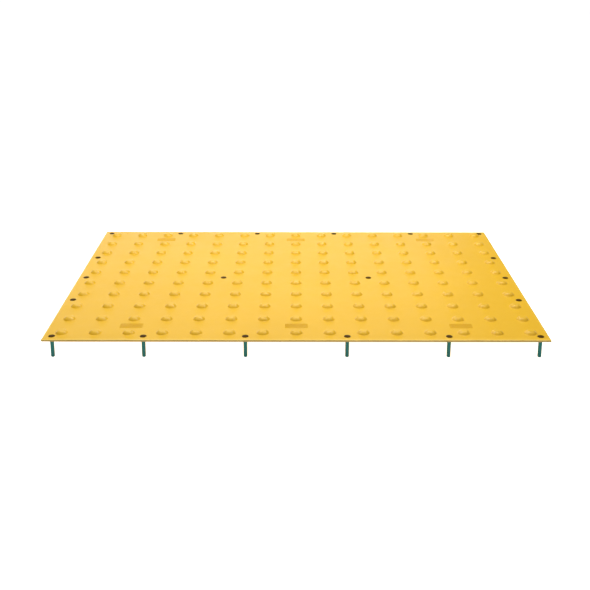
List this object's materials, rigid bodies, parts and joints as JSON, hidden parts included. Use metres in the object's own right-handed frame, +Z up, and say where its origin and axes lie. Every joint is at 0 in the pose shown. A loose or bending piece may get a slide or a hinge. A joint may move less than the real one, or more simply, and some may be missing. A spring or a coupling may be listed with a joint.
{
  "type": "detectable warning tile",
  "caption": "Flat bevelled plastic tile covered in a square grid of truncated domes, fixed down by nail-in anchors whose sleeves stand out below it.",
  "frame": {"origin": "centre of the panel's outline on its flat underside, the face that bonds to the paving", "axes": "+X along the panel's long side, +Y along its short side, away from the picture's camera, +Z up, out of the domes"},
  "size_m": [0.9144, 0.6096, 0.0452],
  "materials": {
    "panel_plastic": "satin moulded polymer with a fine non-slip grain",
    "sleeve_nylon": "satin moulded nylon",
    "pin_steel": "dark plated, low sheen"
  },
  "bodies": {
    "panel": {"tactile_panel": "panel_plastic", "anchor_sleeve_01": "sleeve_nylon", "anchor_sleeve_02": "sleeve_nylon", "anchor_sleeve_03": "sleeve_nylon", "anchor_sleeve_04": "sleeve_nylon", "anchor_sleeve_05": "sleeve_nylon", "anchor_sleeve_06": "sleeve_nylon", "anchor_sleeve_07": "sleeve_nylon", "anchor_sleeve_08": "sleeve_nylon", "anchor_sleeve_09": "sleeve_nylon", "anchor_sleeve_10": "sleeve_nylon", "anchor_sleeve_11": "sleeve_nylon", "anchor_sleeve_12": "sleeve_nylon", "anchor_sleeve_13": "sleeve_nylon", "anchor_sleeve_14": "sleeve_nylon", "anchor_sleeve_15": "sleeve_nylon", "anchor_sleeve_16": "sleeve_nylon", "anchor_sleeve_17": "sleeve_nylon", "anchor_sleeve_18": "sleeve_nylon", "anchor_sleeve_19": "sleeve_nylon", "anchor_sleeve_20": "sleeve_nylon"},
    "pin_01": {"drive_pin_01": "pin_steel"},
    "pin_02": {"drive_pin_02": "pin_steel"},
    "pin_03": {"drive_pin_03": "pin_steel"},
    "pin_04": {"drive_pin_04": "pin_steel"},
    "pin_05": {"drive_pin_05": "pin_steel"},
    "pin_06": {"drive_pin_06": "pin_steel"},
    "pin_07": {"drive_pin_07": "pin_steel"},
    "pin_08": {"drive_pin_08": "pin_steel"},
    "pin_09": {"drive_pin_09": "pin_steel"},
    "pin_10": {"drive_pin_10": "pin_steel"},
    "pin_11": {"drive_pin_11": "pin_steel"},
    "pin_12": {"drive_pin_12": "pin_steel"},
    "pin_13": {"drive_pin_13": "pin_steel"},
    "pin_14": {"drive_pin_14": "pin_steel"},
    "pin_15": {"drive_pin_15": "pin_steel"},
    "pin_16": {"drive_pin_16": "pin_steel"},
    "pin_17": {"drive_pin_17": "pin_steel"},
    "pin_18": {"drive_pin_18": "pin_steel"},
    "pin_19": {"drive_pin_19": "pin_steel"},
    "pin_20": {"drive_pin_20": "pin_steel"}
  },
  "joints": [
    {"name": "pin_drive_01", "type": "slide", "parent": "panel", "child": "pin_01", "axis": [0, 0, 1], "range_m": [0, 0.028]},
    {"name": "pin_drive_02", "type": "slide", "parent": "panel", "child": "pin_02", "axis": [0, 0, 1], "range_m": [0, 0.028]},
    {"name": "pin_drive_03", "type": "slide", "parent": "panel", "child": "pin_03", "axis": [0, 0, 1], "range_m": [0, 0.028]},
    {"name": "pin_drive_04", "type": "slide", "parent": "panel", "child": "pin_04", "axis": [0, 0, 1], "range_m": [0, 0.028]},
    {"name": "pin_drive_05", "type": "slide", "parent": "panel", "child": "pin_05", "axis": [0, 0, 1], "range_m": [0, 0.028]},
    {"name": "pin_drive_06", "type": "slide", "parent": "panel", "child": "pin_06", "axis": [0, 0, 1], "range_m": [0, 0.028]},
    {"name": "pin_drive_07", "type": "slide", "parent": "panel", "child": "pin_07", "axis": [0, 0, 1], "range_m": [0, 0.028]},
    {"name": "pin_drive_08", "type": "slide", "parent": "panel", "child": "pin_08", "axis": [0, 0, 1], "range_m": [0, 0.028]},
    {"name": "pin_drive_09", "type": "slide", "parent": "panel", "child": "pin_09", "axis": [0, 0, 1], "range_m": [0, 0.028]},
    {"name": "pin_drive_10", "type": "slide", "parent": "panel", "child": "pin_10", "axis": [0, 0, 1], "range_m": [0, 0.028]},
    {"name": "pin_drive_11", "type": "slide", "parent": "panel", "child": "pin_11", "axis": [0, 0, 1], "range_m": [0, 0.028]},
    {"name": "pin_drive_12", "type": "slide", "parent": "panel", "child": "pin_12", "axis": [0, 0, 1], "range_m": [0, 0.028]},
    {"name": "pin_drive_13", "type": "slide", "parent": "panel", "child": "pin_13", "axis": [0, 0, 1], "range_m": [0, 0.028]},
    {"name": "pin_drive_14", "type": "slide", "parent": "panel", "child": "pin_14", "axis": [0, 0, 1], "range_m": [0, 0.028]},
    {"name": "pin_drive_15", "type": "slide", "parent": "panel", "child": "pin_15", "axis": [0, 0, 1], "range_m": [0, 0.028]},
    {"name": "pin_drive_16", "type": "slide", "parent": "panel", "child": "pin_16", "axis": [0, 0, 1], "range_m": [0, 0.028]},
    {"name": "pin_drive_17", "type": "slide", "parent": "panel", "child": "pin_17", "axis": [0, 0, 1], "range_m": [0, 0.028]},
    {"name": "pin_drive_18", "type": "slide", "parent": "panel", "child": "pin_18", "axis": [0, 0, 1], "range_m": [0, 0.028]},
    {"name": "pin_drive_19", "type": "slide", "parent": "panel", "child": "pin_19", "axis": [0, 0, 1], "range_m": [0, 0.028]},
    {"name": "pin_drive_20", "type": "slide", "parent": "panel", "child": "pin_20", "axis": [0, 0, 1], "range_m": [0, 0.028]}
  ]
}
